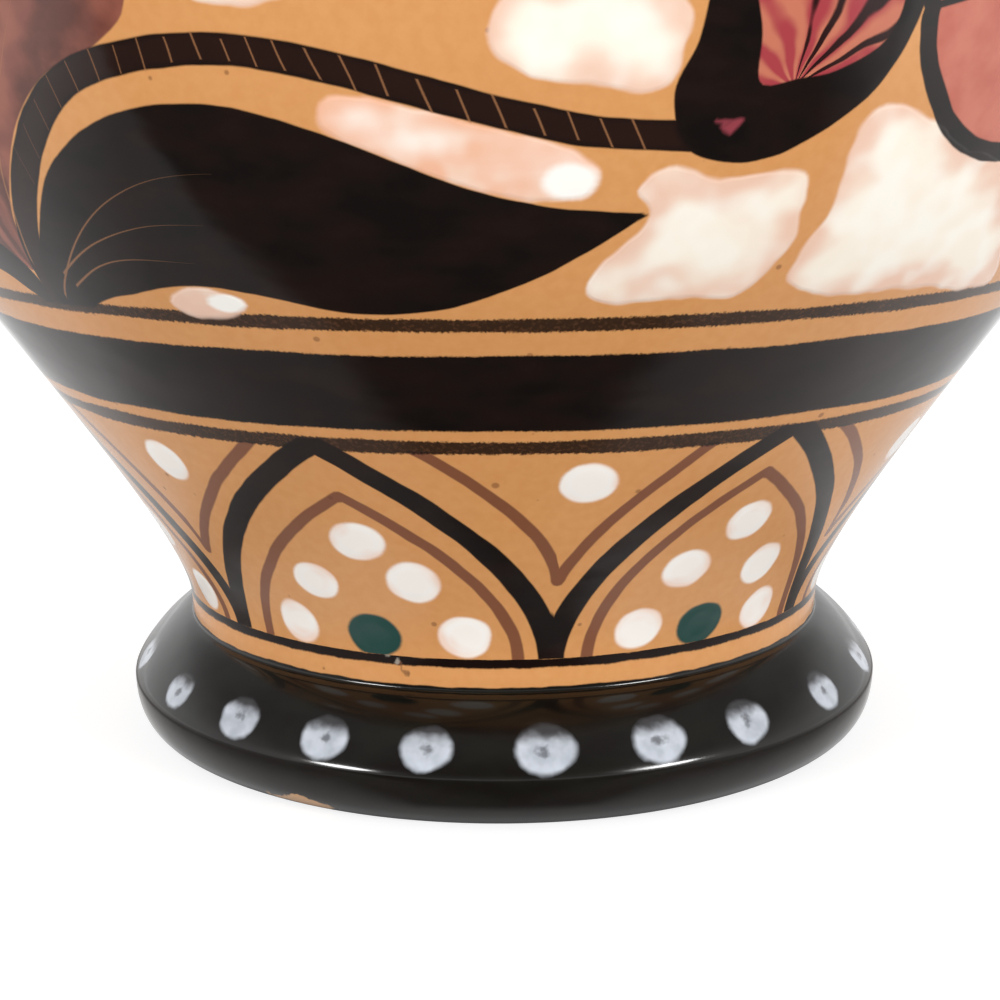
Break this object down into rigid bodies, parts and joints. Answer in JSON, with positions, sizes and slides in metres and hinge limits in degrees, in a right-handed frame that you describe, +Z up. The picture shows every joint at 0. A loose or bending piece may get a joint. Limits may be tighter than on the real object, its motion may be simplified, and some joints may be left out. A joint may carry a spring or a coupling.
{
  "type": "two-handled vase",
  "caption": "Globular earthenware vase on a flared foot ring, with a narrow flared neck, a rolled lip and strap handles from neck to shoulder, for holding flowers.",
  "frame": {"origin": "centre of the foot ring at the plane it stands on", "axes": "+Z up along the vase's axis, handles along -X and +X, pictured side facing -Y"},
  "size_m": [0.182, 0.182, 0.27],
  "materials": {
    "ochre_ware": "clear lead-type glaze over ochre slip with painted decoration",
    "black_slip": "clear glaze over black-brown slip with white dots"
  },
  "bodies": {
    "root": {"foot_ring": "black_slip", "lower_body": "ochre_ware", "upper_body": "ochre_ware", "neck": "ochre_ware", "lip": "black_slip", "handle_left": "black_slip", "handle_right": "black_slip"}
  },
  "joints": []
}
